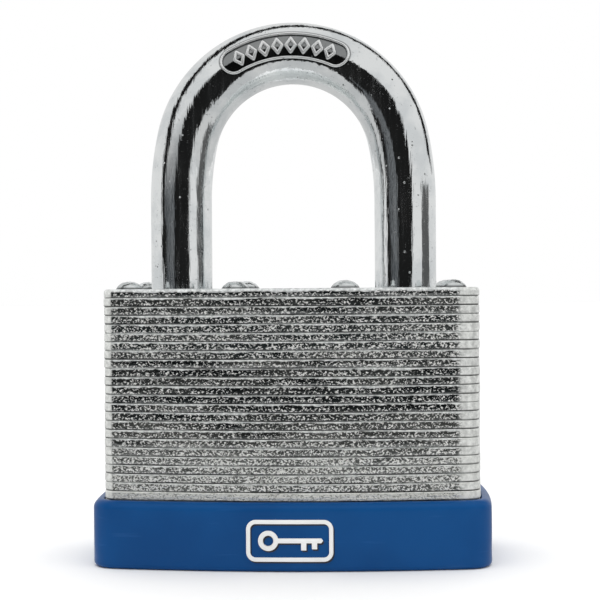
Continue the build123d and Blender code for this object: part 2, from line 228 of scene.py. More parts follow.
# For each point the index of the known loop point at the same spot, or -1 where there is none.
def matchPoints(points, known, every=True):
    found = np.full(len(points), -1)
    for loop, start in known:
        gap = ((points[:, None, :] - loop[None]) ** 2).sum(-1)
        near = gap.argmin(axis=1)
        hit = gap[np.arange(len(points)), near] < sameSpot ** 2
        found[hit] = start + near[hit]
    if every and (found < 0).any():
        raise ValueError("a filled face has a point that is on no loop")
    return found


# One shader socket with arithmetic: a + b, a * b and so on become Math nodes.
class Wire:
    def __init__(self, paint, socket):
        self.paint, self.socket = paint, socket

    def maths(self, operation, *terms, clamp=False):
        settings = {"operation": operation, "use_clamp": clamp}
        return self.paint.node("Math", settings, dict(enumerate(terms)))

    def __add__(self, other):
        return self.maths("ADD", self, other)

    def __mul__(self, other):
        return self.maths("MULTIPLY", self, other)

    def __sub__(self, other):
        return self.maths("SUBTRACT", self, other)

    def __rsub__(self, other):
        return self.maths("SUBTRACT", other, self)

    def clamp(self):
        return self.maths("ADD", self, 0.0, clamp=True)

    # 0 below lo, 1 above hi, smooth between
    def ramp(self, lo, hi):
        inputs = {"Value": self, "From Min": lo, "From Max": hi}
        return self.paint.node("MapRange", {"interpolation_type": "SMOOTHSTEP"}, inputs)


# A material's node tree, with one method for every kind of node.
class Paint:
    def __init__(self, name):
        self.material = bpy.data.materials.new(name)
        self.material.use_nodes = True
        self.tree = self.material.node_tree
        self.shader = self.tree.nodes["Principled BSDF"]
        self.place = self.node("TexCoord", {}, {}, "Object")

    def node(self, kind, settings, inputs, output=0):
        made = self.tree.nodes.new("ShaderNode" + kind)
        for key, value in settings.items():
            setattr(made, key, value)
        for key, value in inputs.items():
            self.feed(made.inputs[key], value)
        return Wire(self, made.outputs[output])

    def feed(self, socket, value):
        if isinstance(value, Wire):
            self.tree.links.new(value.socket, socket)
        else:
            socket.default_value = value

    # position stretched by a factor along each axis
    def stretched(self, x, y, z):
        return self.node("VectorMath", {"operation": "MULTIPLY"}, {0: self.place, 1: (x, y, z)})

    def noise(self, scale, detail=3.0, rough=0.6, at=None, distortion=0.0):
        inputs = {"Vector": at or self.place, "Scale": scale, "Detail": detail, "Roughness": rough,
                  "Distortion": distortion}
        return self.node("TexNoise", {}, inputs)

    # distance to the nearest of scattered spots
    def cells(self, scale):
        return self.node("TexVoronoi", {}, {"Vector": self.place, "Scale": scale}, "Distance")

    def attribute(self, name):
        return self.node("Attribute", {"attribute_name": name}, {}, "Fac")

    def mix(self, factor, a, b):
        made = self.tree.nodes.new("ShaderNodeMix")
        made.data_type = "RGBA"
        self.feed(made.inputs[0], factor)
        for socket, colour in ((made.inputs[6], a), (made.inputs[7], b)):
            self.feed(socket, colour if isinstance(colour, Wire) else (*colour, 1.0))
        return Wire(self, made.outputs[2])

    def bump(self, height, distance, normal=None):
        inputs = {"Height": height, "Distance": distance, "Strength": 1.0}
        if normal:
            inputs["Normal"] = normal
        return self.node("Bump", {}, inputs)

    def finish(self, **sockets):
        for key, value in sockets.items():
            socket = self.shader.inputs[key.replace("_", " ")]
            self.feed(socket, (*value, 1.0) if isinstance(value, tuple) and len(value) == 3 else value)
        return self.material


# Sheared sheet edge: where the torn attribute is 1 the grain is rough and painted near black with near-white
# flecks, a painted dark reflection with painted glints; plain steel where it is 0.
# The third attribute deepens a plate's painted black, tone pales a plate, and the fourth paints shade into
# the gap below it.
def plateSteel(name, look):
    p = Paint(name)
    torn, tone, tornBlackness, seamShade = (p.attribute(key) for key in ("torn", "tone", "tornBlackness", "seamShade"))
    grainAt = p.stretched(1.0, 1.0, look["squash"])
    coarse = p.noise(look["coarse"], 1.5, 0.45, grainAt, 0.5)
    fine = p.noise(look["fine"], 1.0, 0.5, grainAt)
    mixed = coarse * 0.8 + fine * 0.2
    paled = (1.0 - tone).clamp()
    shade = mixed - tornBlackness * look["fleckShift"] + paled * look["paleShift"]
    fleck = shade.ramp(look["fleckFrom"], look["fleckTo"])
    bare = p.noise(look["bare"], 4.0, 0.6)
    smoothColour = p.mix(bare.ramp(0.3, 0.7), look["rimDark"], look["rimLight"])
    # painted dark reflection: the torn grain's ground goes to near black as the third attribute rises, and
    # its white flecks are painted glints
    ground = p.mix(tornBlackness, look["tornGrey"], look["tornDarkReflection"])
    colour = p.mix(torn, smoothColour, p.mix(fleck, ground, look["tornGlint"]))
    colour = p.mix(paled * look["paleShare"], colour, look["pale"])
    # painted shade in the grooves between plates
    colour = p.mix(seamShade, colour, look["gap"])
    rough = (torn * (0.3 - fleck * 0.1) + bare * 0.12 + look["rough"]).clamp()
    lump = p.bump(mixed * (torn * 0.92 + 0.08), look["bump"])
    metal = torn * look["tornMetal"] + look["metal"]
    return p.finish(Base_Color=colour, Metallic=metal, Roughness=rough, Normal=lump)


# Bright plating: near-mirror, with long rubbed streaks, pits and thin scratches.
def plating(name, look):
    p = Paint(name)
    streak = p.noise(look["streak"], 3.0, 0.6, p.stretched(1.0, 1.0, look["streakLength"]))
    cloud = p.noise(140.0, 4.0, 0.6)
    speck = p.noise(look["speck"], 2.0, 0.5).ramp(0.66, 0.72)
    pit = (1.0 - p.cells(look["pits"]).ramp(0.03, 0.11)) * p.noise(420.0, 2.0, 0.5).ramp(0.47, 0.56)
    tint = p.mix(cloud.ramp(0.4, 0.62), look["light"], look["dull"])
    colour = p.mix((pit * 0.8 + speck * 0.25).clamp(), tint, look["pitColour"])
    # painted shade: the attribute mixes in a near-black round each rivet head's brim, beside the crown's
    # beads and over the sunk panel floor
    colour = p.mix(p.attribute("paintedShade") * 0.95, colour, look["paintedShade"])
    rough = (streak.ramp(0.42, 0.7) * look["streakRough"] + speck * 0.2 + pit * 0.3 + look["rough"]).clamp()
    wavy = p.bump(p.noise(90.0, 2.0, 0.4, p.stretched(1.0, 1.0, 0.25)), look["wave"])
    lined = p.bump(streak, look["line"], wavy)
    pitted = p.bump(1.0 - pit, look["pitDepth"], lined)
    return p.finish(Base_Color=colour, Metallic=1.0, Roughness=rough, Normal=pitted)


# Moulded plastic: even colour, faint cloud, orange-peel gloss and a few hairline scuffs.
def moulded(name, look):
    p = Paint(name)
    cloud = p.noise(look["cloud"], 3.0, 0.5)
    colour = p.mix(cloud.ramp(0.35, 0.7), look["dark"], look["light"])
    scuff = p.noise(260.0, 3.0, 0.6, p.stretched(0.2, 0.2, 2.5)).ramp(0.62, 0.72)
    colour = p.mix(scuff * look["scuff"], colour, look["scuffColour"])
    rough = (scuff * 0.18 + p.noise(900.0, 2.0, 0.5) * 0.08 + look["rough"]).clamp()
    peel = p.bump(p.noise(look["peel"], 2.0, 0.5), look["peelDepth"])
    return p.finish(Base_Color=colour, Roughness=rough, Normal=peel, Specular_IOR_Level=look["shine"])


# Plain worked metal for the hidden works: turned or drawn, with fine lines and tarnish.
def worked(name, look):
    p = Paint(name)
    lines = p.noise(look["lines"], 3.0, 0.6, p.stretched(*look["along"]))
    tarnish = p.noise(260.0, 4.0, 0.6).ramp(0.4, 0.7)
    colour = p.mix(tarnish * 0.6, look["colour"], look["tarnish"])
    rough = (lines * 0.2 + tarnish * 0.15 + look["rough"]).clamp()
    return p.finish(Base_Color=colour, Metallic=1.0, Roughness=rough, Normal=p.bump(lines, look["bump"]))


plateLook = {
    "squash": 1.3, "coarse": 2650.0, "fine": 5600.0, "bare": 1300.0, "fleckFrom": 0.49, "fleckTo": 0.56,
    "fleckShift": 0.062, "rimDark": (0.5, 0.52, 0.52), "rimLight": (0.93, 0.95, 0.94),
    # the torn grain's near-black ground and near-white flecks are a painted dark reflection and painted
    # glints
    "tornDarkReflection": (0.0, 0.003, 0.004), "tornGrey": (0.035, 0.045, 0.045), "tornGlint": (1.0, 1.0, 0.98),
    # gap is the near-black of the painted shade in the grooves between plates
    "pale": (0.84, 0.84, 0.78), "gap": (0.002, 0.003, 0.003), "rough": 0.24, "metal": 0.45,
    "tornMetal": 0.3, "bump": 0.0003, "paleShift": 0.1, "paleShare": 0.55,
}
chromeLook = {
    "streak": 1500.0, "streakLength": 0.06, "speck": 1900.0, "pits": 520.0, "light": (0.86, 0.88, 0.88),
    "dull": (0.72, 0.75, 0.76), "pitColour": (0.12, 0.13, 0.13), "streakRough": 0.12, "rough": 0.05,
    # the last colour is the near-black of the painted shade
    "wave": 0.00014, "line": 0.00004, "pitDepth": 0.00012, "paintedShade": (0.012, 0.014, 0.015),
}
rivetLook = dict(chromeLook, rough=0.12, wave=0.0005, streakLength=1.0, pits=900.0, light=(0.84, 0.87, 0.87),
                 dull=(0.62, 0.65, 0.65), line=0.00008)
panelLook = dict(chromeLook, rough=0.36, light=(0.97, 0.98, 0.98), dull=(0.9, 0.92, 0.92))
blueLook = {
    "cloud": 60.0, "dark": (0.002, 0.056, 0.2), "light": (0.003, 0.069, 0.235), "scuff": 0.25,
    "scuffColour": (0.03, 0.12, 0.32), "rough": 0.26, "peel": 900.0, "peelDepth": 0.00002, "shine": 0.13,
}
whiteLook = {
    "cloud": 200.0, "dark": (0.86, 0.86, 0.84), "light": (0.93, 0.93, 0.92), "scuff": 0.2,
    "scuffColour": (0.7, 0.7, 0.68), "rough": 0.38, "peel": 1500.0, "peelDepth": 0.00001, "shine": 0.4,
}
# near-black for the badge's painted drop shadow
dropShadowLook = dict(whiteLook, dark=(0.008, 0.01, 0.016), light=(0.014, 0.016, 0.022),
               scuffColour=(0.03, 0.03, 0.04))
brassLook = {"lines": 1800.0, "along": (1.0, 1.0, 0.1), "colour": (0.72, 0.5, 0.19),
             "tarnish": (0.4, 0.27, 0.1), "rough": 0.22, "bump": 0.00001}
hardLook = dict(brassLook, colour=(0.42, 0.42, 0.43), tarnish=(0.25, 0.24, 0.23), along=(0.1, 1.0, 1.0))
wireLook = dict(brassLook, colour=(0.6, 0.6, 0.61), tarnish=(0.36, 0.35, 0.34), rough=0.18)
sheetLook = dict(brassLook, colour=(0.5, 0.51, 0.51), tarnish=(0.3, 0.3, 0.29), rough=0.3)

plateMaterial = plateSteel("plate_steel", plateLook)
chromeMaterial = plating("shackle_plating", chromeLook)
rivetMaterial = plating("rivet_plating", rivetLook)
panelMaterial = plating("panel_plating", panelLook)
blueMaterial = moulded("bumper_blue", blueLook)
whiteMaterial = moulded("badge_white", whiteLook)
dropShadowMaterial = moulded("badge_shadow", dropShadowLook)
brassMaterial = worked("brass", brassLook)
hardMaterial = worked("hard_steel", hardLook)
wireMaterial = worked("spring_wire", wireLook)
sheetMaterial = worked("sheet_steel", sheetLook)
print("stage: materials")

# the pieces carried over from the solids, by material
pins = range(1, 6)
keyAndDriver = [f"{kind}_pin_{n}" for kind in ("key", "driver") for n in pins]
carried = [
    (hardMaterial, ["retaining_pin", "lever_left", "lever_right", "cam"]),
    (wireMaterial, ["shackle_spring", "lever_spring"] + [f"pin_spring_{n}" for n in pins]),
    (brassMaterial, ["cylinder_case", "plug", "tower_cover"] + keyAndDriver),
    (sheetMaterial, [f"plate_{n:02d}" for n in range(stack["shown"] + 1, stack["count"] + 1)]),
]
for material, names in carried:
    for name in names:
        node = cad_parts[name]
        node.data.materials.clear()
        node.data.materials.append(material)


plate = {
    "loopPoints": 960, "roll": 0.25 * mm, "capRoll": 0.6 * mm, "rollTurns": (0, 22, 45, 68, 90),
    "rimInset": 0.9 * mm, "tornDepth": 0.15 * mm, "tornFrom": 0.27 * mm, "tornTo": 1.37 * mm,
    "burnish": 1.05 * mm, "burnishSpread": 0.3 * mm, "burnishShare": 0.22, "foot": 0.16 * mm,
    "deepTo": (0.6 * mm, 1.05 * mm), "stripHighlight": 0.6, "shift": 0.07 * mm, "sideRows": 13, "seed": 11,
    "stripLeft": (0.42, 0.47), "stripRight": (0.174, 0.182), "stripKeeps": (0.04, 0.12),
    "ripple": 0.012 * mm, "sag": 0.02 * mm, "sagDown": (0.1 * mm, 1.4 * mm),
    # first and last plate, then a round hole as x, y, radius or a box as x0, x1, y0, y1, in mm
    "openings": (
        (1, 30, (-20.0, 0, 5.55)), (1, 9, (20.0, 0, 5.55)), (2, 3, (-11.45, 11.45, -1.6, 1.6)),
        (4, 5, (-17.4, 17.4, -4.2, 4.2)), (6, 7, (0, 0, 5.05)), (8, 8, (0, 0, 3.45)),
        (9, 30, (0, 0, 8.25)), (11, 30, (0, 17.45, -3.05, 3.05)), (12, 13, (-16.3, -13.3, -7.1, 7.1)),
    ),
}


# The holes of one plate as loops, and a test for points that fall inside any of them.
def plateHoles(number):
    discs = [(x, y, stack["rivetHole"]) for x, y in rivetPlaces]
    holes = [circleLoop(x, y, r, 20) for x, y, r in discs]
    boxes = []
    for first, last, size in plate["openings"]:
        if not first <= number <= last:
            continue
        size = [v * mm for v in size]
        if len(size) == 3:
            discs.append(size)
            holes.append(circleLoop(*size, 64))
        else:
            x0, x1, y0, y1 = size
            boxes.append(size)
            holes.append(np.array([(x0, y0), (x1, y0), (x1, y1), (x0, y1)]))

    def inside(points):
        x, y = points.T
        hit = np.zeros(len(points), bool)
        for cx, cy, r in discs:
            hit |= np.hypot(x - cx, y - cy) < r * 0.999
        for x0, x1, y0, y1 in boxes:
            hit |= (x > x0) & (x < x1) & (y > y0) & (y < y1)
        return hit

    return holes, inside


# Side of a plate as rows of loops: flat rim, rolled edge (a quarter circle), then down the
# cut, pushed in by depth x noise between two wavy lines where it is torn.
def makePlate(number, rng):
    p, n, pitch = plate, plate["loopPoints"], stack["pitch"]
    top = stackTop - (number - 1) * pitch
    loop, normal = outlineLoop(0.0, n)
    roll = p["capRoll"] if number == 1 else p["roll"] * (0.85 + 0.3 * rng.random())
    turn = np.radians(p["rollTurns"])
    foot = p["foot"]
    steps = np.linspace(roll, pitch - foot, p["sideRows"] + 1)[1:]
    inset = [p["rimInset"], *roll * (1 - np.sin(turn)), *[0.0] * len(steps), foot, p["rimInset"]]
    down = [0.0, *roll * (1 - np.cos(turn)), *steps, pitch, pitch]
    inset, down = np.array(inset)[:, None], np.array(down)[:, None]
    rows = len(inset)
    wave = lambda length: bandNoise(rng, (4, n), 4, length)[0]
    wavy = lambda wide, narrow: (wide * wave(90) + narrow * wave(14)) * mm
    start = (roll if number == 1 else p["tornFrom"]) + wavy(0.05, 0.05)
    burnish = p["burnish"] + p["burnishSpread"] * rng.uniform(-1, 1.3) + wavy(0.1, 0.06)
    past = lambda at, half: smoothStep(at - half, at + half, down)
    zone = past(start, 0.04 * mm)
    zone = zone * (1 - smoothStep(p["tornTo"], p["tornTo"] + 0.06 * mm, down))
    zone = zone * (1 - p["burnishShare"] * past(burnish, 0.08 * mm))
    # the corners and ends are cut clean, so the torn grain gives way there, and they are also paled as a
    # painted highlight where the turning corner catches the light
    leftEnd = smoothStep(*p["stripLeft"], -normal[:, 0])
    rightEnd = smoothStep(*p["stripRight"], normal[:, 0])
    ends = np.maximum(leftEnd, rightEnd) * (1 - rng.uniform(*p["stripKeeps"]))
    tall = rows + 8
    grain = 0.55 * bandNoise(rng, (tall, n), 3, 3.2) + 0.45 * bandNoise(rng, (tall, n), 5, 8)
    rough = 0.55 + 0.5 * grain + 0.2 * bandNoise(rng, (tall, n), 12, 160)
    depth = p["tornDepth"] * np.clip(rough[:rows], 0, 1.8) * zone * (1 - ends)
    ripple = p["ripple"] * wave(240)
    push = inset + np.where(inset < 0.5 * mm, depth + ripple, 0.0)
    shift = rng.uniform(-1, 1, 2) * p["shift"] * (number > 1)
    xy = loop[None] - normal[None] * push[:, :, None] + shift
    sag = p["sag"] * wave(300) * (number > 1)
    low, high = p["sagDown"]
    z = top - down - np.where((down > low) & (down < high), sag, 0.0)

    holes, inHole = plateHoles(number)
    flat, triangles, openEdges = fillFlat(xy[0], holes, inHole)
    # the fill's own copy of the rim is joined to the side's first and last rows
    topIndex = matchPoints(flat, [(xy[0], 0)], every=False)
    onRim = topIndex >= 0
    extra = np.flatnonzero(~onRim)
    first = rows * n
    lowIndex = topIndex + (rows - 1) * n
    topIndex[extra] = first + np.arange(len(extra))
    lowIndex[extra] = topIndex[extra] + len(extra)
    one, other = openEdges[~onRim[openEdges].all(axis=1)].T
    walls = np.stack([topIndex[one], lowIndex[one], lowIndex[other], topIndex[other]], -1)
    faces = [ringQuads(rows, n)[:, ::-1], topIndex[triangles], lowIndex[triangles][:, ::-1], walls]
    points = join([stacked(xy, z), atHeight(flat[extra], top), atHeight(flat[extra], top - pitch)])

    # values on the side's rows, and one value on the flat faces
    def onSide(values, elsewhere=0.0):
        out = np.full(len(points), elsewhere)
        out[:first] = np.broadcast_to(values, (rows, n)).ravel()
        return out

    # painted shade in the grooves between plates: along the top edge under the plate above, and at each
    # plate's foot
    upperSeam = smoothStep(0.1 * mm, 0.2 * mm, inset) * (down < 0.02 * mm) * (number > 1)
    uneven = np.clip(0.8 + 0.35 * wave(120) + rng.uniform(-0.3, 0.3), 0, 1)
    lowerSeam = smoothStep(pitch - 1.7 * foot, pitch - 0.5 * foot, down) * uneven
    deep = 1 - 0.45 * smoothStep(*p["deepTo"], down)
    # depth of the painted dark reflection on the torn grain, weaker lower down on each plate
    tornBlackness = np.clip(plateBlackness(number) + rng.uniform(-0.2, 0.2), 0, 1) * deep
    # tone is lowered at the corners and ends, which pales them as a painted highlight
    tone = plateTone(number, n, rng) * (1 - p["stripHighlight"] * ends)
    attributes = {"torn": onSide(zone * (1 - ends)), "tone": onSide(tone, 1.0), "tornBlackness": onSide(tornBlackness),
                  "seamShade": onSide(np.maximum(upperSeam, lowerSeam))}
    node = f"plate_{number:02d}"
    addPiece(node + "_sheet", points, faces, plateMaterial, lockBody, attributes, (node,), 50)


# How deep the painted dark reflection on a plate's torn grain is: deep in the first three and from the ninth
# to the eighteenth, greyer between and below, by smooth steps on the plate's number.
def plateBlackness(number):
    upper = 1 - smoothStep(2, 5, number)
    middle = smoothStep(7, 9, number) * (1 - smoothStep(16, 22, number))
    return 0.25 + 0.75 * max(upper, middle)


# How little a plate is paled: 1 keeps the steel's own colour, less mixes in the pale colour.
# Lower plates are paler, the last one almost wholly, and each plate has its own random share.
def plateTone(number, count, rng):
    fall = smoothStep(12, 23, number) * 0.45
    own = rng.uniform(0, 0.12)
    last = 1.0 if number == stack["shown"] else 0.0
    slow = 0.05 * bandNoise(rng, (4, count), 4, 200)[0]
    return np.clip(1 - max(fall * 0.6 + own * 0.8, last) + slow, 0, 1)


rng = np.random.default_rng(plate["seed"])
for number in range(1, stack["shown"] + 1):
    makePlate(number, rng)
print("stage: plates")


rivet = {"head": 2.38 * mm, "rise": 1.35 * mm, "shank": 1.8 * mm, "tailDrop": 1.2 * mm, "points": 56,
         "domeRows": 16, "flat": 0.16 * mm, "tilt": 0.04, "lumps": 0.05 * mm, "seed": 5,
         "tail": ((0.3, -1.2), (2.1, -1.2), (2.6, -0.7), (2.7, 0.0), (1.8, 0.0))}


# Each rivet is a profile turned round its own axis, closed at both ends by a pole; the
# head is a spherical cap flattened a little on top and dented by noise.
def makeRivets():
    k, n = rivet, rivet["points"]
    rng = np.random.default_rng(k["seed"])
    a = turns(n)
    cap = arcRadius(k["head"], k["rise"])
    radius = k["head"] * np.linspace(1, 0.06, k["domeRows"])
    height = np.sqrt(cap ** 2 - radius ** 2) - (cap - k["rise"])
    tail = np.array(k["tail"]) * mm + (0, stack["floor"])
    neck = [(k["shank"], stackTop - 0.02 * mm), (k["head"] - 0.1 * mm, stackTop)]
    profile = join([tail, neck, np.stack([radius, height + stackTop + 0.02 * mm], -1)])
    rows = len(profile)
    points, faces, paintedShade, count = [], [], [], 0
    for x, y in rivetPlaces:
        lump = bandNoise(rng, (rows, n), 9, 22) * k["lumps"]
        weight = smoothStep(stackTop, stackTop + 0.5 * mm, profile[:, 1])[:, None]
        r = profile[:, 0][:, None] + np.zeros(n)
        flatTop = k["flat"] * smoothStep(1.3 * mm, 0.4 * mm, r) * rng.uniform(0.2, 1.0)
        z = profile[:, 1][:, None] + lump * weight * 0.5 - weight * flatTop
        z = np.minimum(z, stackTop + k["rise"])
        tilt = k["tilt"] * rng.standard_normal(2)
        z = z + weight * (tilt[0] * r * np.cos(a) + tilt[1] * r * np.sin(a)) * 0.8
        grid = stacked((x, y) + r[..., None] * facing(a), z)
        poles = [[x, y, stack["floor"] - k["tailDrop"]], [x, y, grid[-n:, 2].mean() + 0.004 * mm]]
        # painted shade on the outer brim of each head, where the dome meets the plate
        brim = smoothStep(0.9, 0.98, r / k["head"]) * (profile[:, 1:] > stackTop - 0.1 * mm)
        paintedShade += [brim.ravel(), np.zeros(2)]
        points += [grid, poles]
        faces += [ringQuads(rows, n, count), poleFan(count, n, count + rows * n, True),
                  poleFan(count + (rows - 1) * n, n, count + rows * n + 1)]
        count += rows * n + 2
    addPiece("rivet_set", join(points), faces, rivetMaterial, lockBody,
             {"paintedShade": join(paintedShade)}, ("rivets",), 55)

makeRivets()
print("stage: rivets")


bumper = {"height": 11.5 * mm, "wall": 1.8 * mm, "gap": 0.05 * mm, "floor": 2.5 * mm,
          "shoulder": 1.5 * mm, "foot": 0.9 * mm, "footFlat": 0.4 * mm, "keyHole": 7.0 * mm,
          "keyRim": 0.6 * mm, "keyBevel": 0.18 * mm, "keyPoints": 96, "pocket": 2.9 * mm,
          "pocketDrop": 1.4 * mm, "pocketPoints": 36, "loopPoints": 900, "seed": 3, "wobble": 0.03 * mm}


# Wall as rows of loops: up the pocket, over the lip and the round shoulder, down the
# outside, round the foot; then the floor's two faces are filled between wall and holes.
def makeBumper():
    b, n = bumper, bumper["loopPoints"]
    rng = np.random.default_rng(b["seed"])
    loop, normal = outlineLoop(b["gap"] + b["wall"], n)
    arc = np.radians(np.linspace(0, 90, 11))
    h, s, f, w = b["height"], b["shoulder"], b["foot"], b["wall"]
    rows = [(w, b["floor"]), (w, h - 0.15 * mm), (w - 0.05 * mm, h - 0.03 * mm), (w - 0.12 * mm, h)]
    rows += [(s * (1 - math.sin(t)), h - s * (1 - math.cos(t))) for t in arc]
    rows += [(0.0, z) for z in np.linspace(h - s, f, 12)[1:-1]]
    rows += [(f * (1 - math.cos(t)), f * (1 - math.sin(t))) for t in arc]
    rows = np.array(rows + [(f + b["footFlat"], 0.0)])
    inset, z = rows[:, 0][:, None], rows[:, 1][:, None]
    outside = smoothStep(w, 0.0, inset) * smoothStep(0, 2 * mm, z)
    wobble = bandNoise(rng, (len(rows) + 8, n), 30, 260)[:len(rows)] * 0.5 + 0.5
    sink = b["wobble"] * wobble.clip(0, 2) * outside
    xy = loop[None] - normal[None] * (inset + sink)[:, :, None]
    side = stacked(xy, z)
    points, faces, count = [side], [ringQuads(len(rows), n)], len(side)

    # key hole: a ring at the floor's top, one near its bottom and a small rounded rim
    m = b["keyPoints"]
    hole = [circleLoop(0, 0, b["keyHole"] + more, m) for more in (0.0, 0.0, b["keyBevel"], b["keyRim"])]
    heights = (b["floor"], b["keyRim"], b["keyBevel"], 0.0)
    points += [atHeight(ring, level) for ring, level in zip(hole, heights)]
    holeStart = count
    count += 4 * m
    faces.append(ringQuads(4, m, holeStart)[:, ::-1])

    # underside, then the pocket's floor with its cups for the rivet tails
    rimReach = b["keyHole"] + b["keyRim"] * 0.99
    under, tri, _ = fillFlat(xy[-1], [hole[3]], lambda q: nearAny(q, [(0, 0)], rimReach))
    known = [(xy[-1], (len(rows) - 1) * n), (hole[3], holeStart + 3 * m)]
    faces.append(matchPoints(under, known)[tri][:, ::-1])
    c, low = b["pocketPoints"], b["floor"] - b["pocketDrop"]
    cups = [circleLoop(x, y, b["pocket"], c) for x, y in rivetPlaces]
    inCup = lambda q: nearAny(q, [(0, 0)], b["keyHole"]) | nearAny(q, rivetPlaces, b["pocket"] * 0.995)
    inner, tri, _ = fillFlat(xy[0], [hole[0]] + cups, inCup)
    known = [(xy[0], 0), (hole[0], holeStart)]
    for (x, y), cup in zip(rivetPlaces, cups):
        known.append((cup, count))
        points += [atHeight(cup, b["floor"]), atHeight(cup, low), [[x, y, low]]]
        faces += [ringQuads(2, c, count)[:, ::-1], poleFan(count + c, c, count + 2 * c)]
        count += 2 * c + 1
    faces.append(matchPoints(inner, known)[tri])
    addPiece("bumper_shell", join(points), faces, blueMaterial, lockBody,
             nodes=("bumper",), crisp=50)

makeBumper()
print("stage: bumper")


badge = {"middle": 5.29 * mm, "width": 14.6 * mm, "height": 7.0 * mm, "line": 0.7 * mm, "round": 1.6 * mm,
         "relief": 0.22 * mm, "bevel": 0.07 * mm, "bowX": -3.6 * mm, "bow": 1.7 * mm, "bowHole": 0.85 * mm,
         "shaft": 0.4 * mm, "shadow": (0.2 * mm, -0.28 * mm), "shadowRelief": 0.05 * mm,
         "spacing": 0.12 * mm, "skirt": 0.02 * mm,
         # shaft, two bits and tip of the key, in mm
         "bits": ((1.9, -0.4), (1.9, -1.6), (2.8, -1.6), (2.8, -0.4), (3.7, -0.4), (3.7, -1.4),
                  (4.6, -1.4), (4.6, -0.4), (5.3, -0.4), (5.6, 0), (5.3, 0.4))}


# A rounded rectangle loop, anticlockwise.
def roundedLoop(x, z, width, height, radius, perCorner=14):
    corners = [(1, -1, -90), (1, 1, 0), (-1, 1, 90), (-1, -1, 180)]
    a = np.linspace(0, 90, perCorner)
    halfX, halfZ = width / 2 - radius, height / 2 - radius
    return join([(x + sx * halfX, z + sz * halfZ) + radius * facing(np.radians(start + a))
                 for sx, sz, start in corners])


# Evenly spaced points along a closed loop, so that flat strips follow the bowed front.
def evenLoop(loop, spacing):
    closed = np.vstack([loop, loop[:1]])
    s = lengths(closed)
    count = max(int(s[-1] / spacing), 12)
    at = np.linspace(0, s[-1], count, endpoint=False)
    return np.stack([np.interp(at, s, closed[:, k]) for k in (0, 1)], -1)


# y of the bumper's front at x: the same arc through the corners as the outline's.
def frontY(x, grow):
    hd = stack["halfDepth"] + grow
    cx = stack["halfWidth"] - stack["sideBow"] + grow
    big = arcRadius(cx, stack["frontBow"])
    return (big - hd) - np.sqrt(big ** 2 - x ** 2)


# A raised mark: every loop is stood on the front, rises by the relief with a small bevel
# and is filled across the top. Outer loops are kept, holes are cut.
def raisedMark(name, outers, holes, offset, relief, bevel, material, nodes=()):
    # a loop's points on the bumper's front, raised by a height
    def onFront(loop, up):
        x, z = (loop + offset).T
        return np.column_stack([x, frontY(x, bumper["gap"] + bumper["wall"]) - up, z])

    soft = bevel * 0.3
    levels = [(0.0, -badge["skirt"]), (0.0, relief - bevel), (-soft, relief - soft), (-bevel, relief)]
    points, faces, count = [], [], 0
    for outer in outers:
        mine = [h for h in holes if inLoop(outer, h[:1])[0]]
        rings = []
        for loop, sign in [(outer, 1)] + [(h, -1) for h in mine]:
            tangent = np.roll(loop, -1, axis=0) - np.roll(loop, 1, axis=0)
            out = np.stack([tangent[:, 1], -tangent[:, 0]], -1)
            out = out / np.linalg.norm(tangent, axis=1)[:, None] * sign
            steps = [loop + out * push for push, up in levels]
            m = len(loop)
            points += [onFront(step, up) for step, (push, up) in zip(steps, levels)]
            quads = ringQuads(4, m, count)
            faces.append(quads if sign > 0 else quads[:, ::-1])
            rings.append((steps[3], count + 3 * m, steps[0], count))
            count += 4 * m
        for which, flip in ((0, False), (2, True)):
            inner = [ring[which] for ring in rings[1:]]
            inHole = lambda q: np.any([np.zeros(len(q), bool)] + [inLoop(hole, q) for hole in inner], axis=0)
            flat, tri, _ = fillFlat(rings[0][which], inner, inHole)
            index = matchPoints(flat, [(r[which], r[which + 1]) for r in rings])
            faces.append(index[tri][:, ::-1] if flip else index[tri])
    addPiece(name, join(points), faces, material, lockBody, nodes=nodes, crisp=40)


# The badge is a frame with a key lying in it: one outer loop each, with their holes. The key is
# a round bow and a shaft with two bits, drawn as one loop.
def makeBadge():
    b = badge
    z, line = b["middle"], b["line"]
    start = math.asin(b["shaft"] / b["bow"])
    bow = (b["bowX"], z) + b["bow"] * facing(np.linspace(start, 2 * math.pi - start, 60))
    key = join([bow, np.array(b["bits"]) * mm + (0, z)])
    outer = roundedLoop(0, z, b["width"], b["height"], b["round"])
    inner = roundedLoop(0, z, b["width"] - 2 * line, b["height"] - 2 * line, b["round"] - line)
    outers = [evenLoop(loop, b["spacing"]) for loop in (outer, key)]
    holes = [evenLoop(loop, b["spacing"]) for loop in (inner, circleLoop(b["bowX"], z, b["bowHole"], 40))]
    raisedMark("badge_frame_and_key", outers, holes, (0, 0), b["relief"], b["bevel"], whiteMaterial,
               ("emblem",))
    # painted drop shadow: the same marks in near-black, shifted down and to the right, just under the white
    # ones
    raisedMark("badge_shadow", outers, holes, b["shadow"], b["shadowRelief"], b["bevel"] * 0.3, dropShadowMaterial)


makeBadge()
print("stage: badge")


shackle = {"rise": 47.3 * mm, "flare": 0.75 * mm, "lean": 12.0, "round": 184, "crownStep": 0.14 * mm,
           "legStep": 0.6 * mm, "toeEnd": 35.5 * mm, "heelEnd": 10.8 * mm, "chamfer": 0.8 * mm,
           "neckSpan": (14.8 * mm, 31.2 * mm), "notchSpan": (39.9 * mm, 43.1 * mm),
           "notchPlane": 3.55 * mm, "bendClear": 12.0 * mm, "panelHalf": 27.0, "panelMargin": 9.0,
           "panelHalfWidth": 2.35 * mm, "panelSink": 0.2 * mm, "panelTurn": 3.2, "panelRise": 0.7 * mm,
           "dents": 0.006 * mm, "seed": 21}


